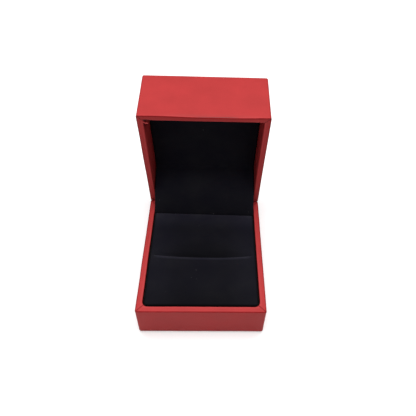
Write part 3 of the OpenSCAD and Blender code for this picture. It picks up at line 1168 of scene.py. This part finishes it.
def make_floor_material():
    """Plain white studio paper, lit a little from behind as the camera sees it."""
    made, shader, add, join = start_material("studio_paper")
    place = object_place(add)
    tooth = noise_of(add, place, 900.0, 2.0)
    seen = add("ShaderNodeLightPath").outputs["Is Camera Ray"]
    away = add("ShaderNodeVectorMath", {0: place}, operation="LENGTH").outputs["Value"]
    glow = add("ShaderNodeMapRange", {"Value": away, "From Min": 0.2, "From Max": 0.9,
                                      "To Min": 0.3, "To Max": 1.0}).outputs["Result"]
    join(shader, {"Base Color": ramp_of(add, noise_of(add, place, 3.0, 1.0),
                                        [(0.3, (0.77, 0.77, 0.77)), (0.7, (0.79, 0.79, 0.79))]),
                  "Roughness": scaled(add, tooth, 0.92, 1.0),
                  "Specular IOR Level": 0.1,
                  "Emission Color": (1, 1, 1, 1),
                  "Emission Strength": computed(add, "MULTIPLY", seen, glow),
                  "Normal": bumped(add, tooth, 0.00002, 0.2)})
    return made


leatherette = make_leatherette()
velvet = make_velvet()
hinge_steel = make_steel("hinge_steel", (0.55, 0.54, 0.52), (400, 6000, 6000), 0.34)
rivet_steel = make_steel("rivet_steel", (0.62, 0.61, 0.58), (3000, 3000, 3000), 0.3)
spring_steel = make_steel("spring_steel", (0.66, 0.64, 0.6), (6000, 500, 500), 0.24)
plastic = make_plastic()
underside_paper = make_underside_paper()
card = make_card()
foam = make_foam()

node_materials = {
    "base_shell": plastic, "lid_shell": plastic, "base_underlay": underside_paper,
    "pad_board": card, "lid_board": card, "front_foam": foam, "rear_foam": foam,
    "lid_foam": foam, "hinge_base_leaf": hinge_steel, "hinge_lid_leaf": hinge_steel,
    "hinge_pin": hinge_steel, "base_rivets": rivet_steel, "lid_rivets": rivet_steel,
    "hinge_spring": spring_steel, "base_wrap": leatherette, "lid_wrap": leatherette,
    "pad_cover": velvet, "lid_lining": velvet, "hinge_flap": velvet,
}
for node_name, material in node_materials.items():
    slots = frame["nodes"][node_name].data.materials
    slots.clear()
    slots.append(material)


# ---- Put the pieces on the frame ----
base_skin = base_covering()
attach(base_skin, "base")
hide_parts("base_wrap")

lid_skin = lid_covering()
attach(lid_skin, "lid")
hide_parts("lid_wrap")

tongue = lifted_tongue()
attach(tongue, "lid")

pad = ring_pad()
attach(pad, "base")
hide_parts("pad_cover")

sheet, sheet_length = velvet_sheet()
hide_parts("lid_lining", "hinge_flap")
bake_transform(sheet)

spring, spring_start, spring_end = snap_spring()
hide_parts("hinge_spring")
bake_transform(spring)


# ---- Floor, light and camera ----
FLOOR_HALF = 4.0
LIGHT_SIZE = 1.0
LIGHT_HEIGHT = 0.95
LIGHT_POWER = 14.6
SKY_STRENGTH = 0.16


def studio_floor():
    """A white paper floor, centred under the box."""
    cells = 8
    size = 2 * FLOOR_HALF / cells
    vertices = [Vector((i * size - FLOOR_HALF, j * size - FLOOR_HALF, 0))
                for j in range(cells + 1) for i in range(cells + 1)]
    row = cells + 1
    faces = [(j * row + i, j * row + i + 1, (j + 1) * row + i + 1, (j + 1) * row + i)
             for j in range(cells) for i in range(cells)]
    floor = make_piece("studio_floor", vertices, faces, make_floor_material())


def studio_light():
    """One broad soft light overhead."""
    data = bpy.data.lights.new("overhead", "AREA")
    data.shape = "SQUARE"
    data.size = LIGHT_SIZE
    data.energy = LIGHT_POWER
    light = bpy.data.objects.new("overhead", data)
    light.location = (0, 0.05, LIGHT_HEIGHT)
    bpy.context.collection.objects.link(light)


def studio_sky():
    """An even pale surround: dim as a light, and white where the camera sees past the floor."""
    world = bpy.data.worlds.new("surround")
    world.use_nodes = True
    bpy.context.scene.world = world
    tree = world.node_tree
    background = tree.nodes["Background"]
    background.inputs["Color"].default_value = (1, 1, 1, 1)
    path = tree.nodes.new("ShaderNodeLightPath")
    strength = tree.nodes.new("ShaderNodeMapRange")
    strength.inputs["To Min"].default_value = SKY_STRENGTH
    strength.inputs["To Max"].default_value = 1.0
    tree.links.new(path.outputs["Is Camera Ray"], strength.inputs["Value"])
    tree.links.new(strength.outputs["Result"], background.inputs["Strength"])


CAMERA_PLACE = Vector((4.0, -129.4, 206.9)) * MM
CAMERA_PITCH = math.radians(45.08)
CAMERA_YAW = math.radians(-2.96)
CAMERA_ROLL = math.radians(-3.07)
CAMERA_LENS = 38.1
CAMERA_SHIFT = (-0.0488, -0.0868)


def camera():
    """The camera, at the angle that the box is seen from: from the front, well above."""
    data = bpy.data.cameras.new("camera")
    data.sensor_width = 36
    data.lens = CAMERA_LENS
    data.shift_x, data.shift_y = CAMERA_SHIFT
    data.clip_start = 0.01
    data.clip_end = 20
    view = bpy.data.objects.new("camera", data)
    turn = (Matrix.Rotation(CAMERA_YAW, 3, "Z") @ Matrix.Rotation(-CAMERA_PITCH, 3, "X")
            @ Matrix.Rotation(CAMERA_ROLL, 3, "Y"))
    # A Blender camera looks along its own -Z, with +Y up
    facing = turn @ Matrix.Rotation(math.radians(90), 3, "X")
    view.matrix_world = Matrix.Translation(CAMERA_PLACE) @ facing.to_4x4()
    bpy.context.collection.objects.link(view)
    bpy.context.scene.camera = view


studio_floor()
studio_light()
studio_sky()
camera()
bpy.context.scene.view_settings.view_transform = "Standard"
